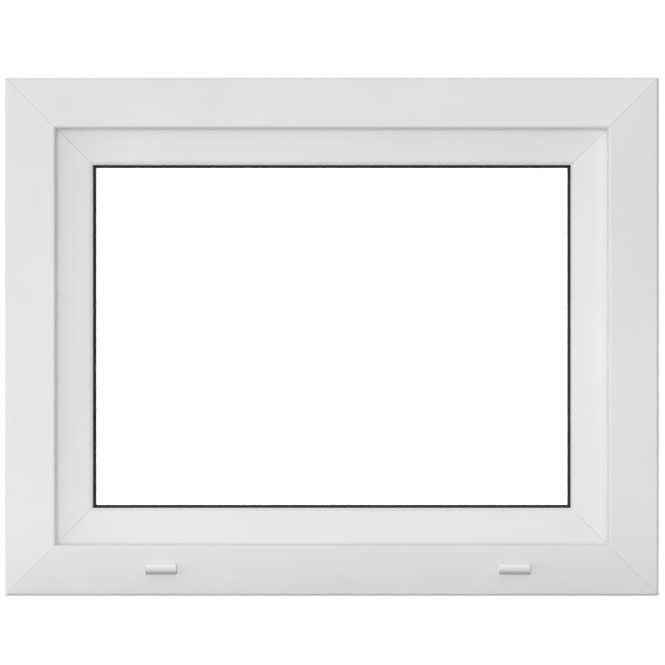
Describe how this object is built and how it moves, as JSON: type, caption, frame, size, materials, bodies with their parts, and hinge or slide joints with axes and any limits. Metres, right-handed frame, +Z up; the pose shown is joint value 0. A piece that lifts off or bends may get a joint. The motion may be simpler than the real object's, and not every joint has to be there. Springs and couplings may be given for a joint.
{
  "type": "casement window",
  "caption": "Inward-opening tilt-and-turn window: white plastic frame and sash, sealed double glazing, hidden locking gear, interior turn handle.",
  "frame": {"origin": "middle of the underside of the outer frame, halfway through its depth", "axes": "+X right as seen from outside, +Y inwards through the wall to the room, +Z up"},
  "size_m": [0.82, 0.137, 0.65],
  "materials": {
    "upvc_white": "smooth white window plastic with a soft sheen",
    "cap_white": "smooth white moulded plastic",
    "gasket_grey": "light grey soft seal",
    "gasket_black": "matt black soft seal",
    "edge_sealant": "dull black sealant",
    "glass_clear": "clear float glass",
    "spacer_aluminium": "satin mill finish",
    "packer_blue": "plain moulded plastic",
    "steel_galvanised": "galvanised, dull",
    "steel_silver": "silver passivated zinc",
    "hinge_silver": "silver coated",
    "screw_zinc": "bright zinc",
    "handle_white": "white powder coat, satin",
    "cover_white": "smooth white moulded plastic"
  },
  "bodies": {
    "frame": {"frame_head": "upvc_white", "frame_sill": "upvc_white", "frame_jamb_left": "upvc_white", "frame_jamb_right": "upvc_white", "frame_reinforcements": "steel_galvanised", "frame_stop_gasket": "gasket_grey", "drain_cap_left": "cap_white", "drain_cap_right": "cap_white", "keeper_lock_lower": "steel_silver", "keeper_lock_upper": "steel_silver", "keeper_top": "steel_silver", "keeper_tilt": "steel_silver", "keeper_screws": "screw_zinc", "hinge_bracket_bottom": "hinge_silver", "hinge_bracket_top": "hinge_silver", "hinge_bracket_screws": "screw_zinc", "hinge_pin_bottom": "steel_silver", "hinge_pin_top": "steel_silver"},
    "carrier": {"hinge_knuckle": "hinge_silver"},
    "sash": {"sash_rail_top": "upvc_white", "sash_rail_bottom": "upvc_white", "sash_stile_lock": "upvc_white", "sash_stile_hinge": "upvc_white", "sash_reinforcements": "steel_galvanised", "sash_overlap_gasket": "gasket_black", "glazing_gasket_outer": "gasket_black", "glazing_gasket_inner": "gasket_black", "glazing_bead_top": "upvc_white", "glazing_bead_bottom": "upvc_white", "glazing_bead_left": "upvc_white", "glazing_bead_right": "upvc_white", "glass_pane_outer": "glass_clear", "glass_pane_inner": "glass_clear", "glass_spacer": "spacer_aluminium", "glass_edge_seal": "edge_sealant", "glazing_packers": "packer_blue", "faceplate_lock": "steel_silver", "faceplate_top": "steel_silver", "faceplate_bottom": "steel_silver", "faceplate_screws": "screw_zinc", "gearbox_case": "steel_silver", "corner_drive_upper": "steel_silver", "corner_drive_lower": "steel_silver", "stay_guide": "steel_silver", "sash_hinge_leaf": "hinge_silver", "sash_leaf_screws": "screw_zinc", "handle_base": "handle_white", "handle_cover": "cover_white", "handle_screws": "screw_zinc"},
    "stay": {"stay_arm": "steel_silver", "stay_pin": "steel_silver"},
    "handle": {"handle_grip": "handle_white", "handle_spindle": "steel_silver", "gear_pinion": "steel_silver"},
    "lock_rod": {"rod_lock": "steel_silver", "cams_lock": "steel_silver"},
    "top_rod": {"rod_top": "steel_silver", "cam_top": "steel_silver"},
    "bottom_rod": {"rod_bottom": "steel_silver", "cam_tilt": "steel_silver"}
  },
  "joints": [
    {"name": "turn_hinge", "type": "hinge", "parent": "frame", "child": "carrier", "pos_m": [0.383, 0.045, 0.029], "axis": [0, 0, -1], "range_deg": [0, 90]},
    {"name": "tilt_hinge", "type": "hinge", "parent": "carrier", "child": "sash", "pos_m": [0.383, 0.045, 0.029], "axis": [-1, 0, 0], "range_deg": [0, 9]},
    {"name": "stay_swing", "type": "hinge", "parent": "carrier", "child": "stay", "pos_m": [0.383, 0.045, 0.596], "axis": [0, 0, -1], "range_deg": [0, 18.3]},
    {"name": "handle_turn", "type": "hinge", "parent": "sash", "child": "handle", "pos_m": [-0.335, 0.063, 0.325], "axis": [0, -1, 0], "range_deg": [-90, 90]},
    {"name": "lock_rod_slide", "type": "slide", "parent": "sash", "child": "lock_rod", "axis": [0, 0, -1], "range_m": [-0.018, 0.018]},
    {"name": "top_rod_slide", "type": "slide", "parent": "sash", "child": "top_rod", "axis": [-1, 0, 0], "range_m": [-0.018, 0.018]},
    {"name": "bottom_rod_slide", "type": "slide", "parent": "sash", "child": "bottom_rod", "axis": [1, 0, 0], "range_m": [-0.018, 0.018]}
  ],
  "couplings": [
    {"joint": "stay_swing", "follows": "tilt_hinge", "ratio": 2.026},
    {"joint": "lock_rod_slide", "follows": "handle_turn", "m_per_rad": 0.011459},
    {"joint": "top_rod_slide", "follows": "handle_turn", "m_per_rad": 0.011459},
    {"joint": "bottom_rod_slide", "follows": "handle_turn", "m_per_rad": 0.011459}
  ]
}
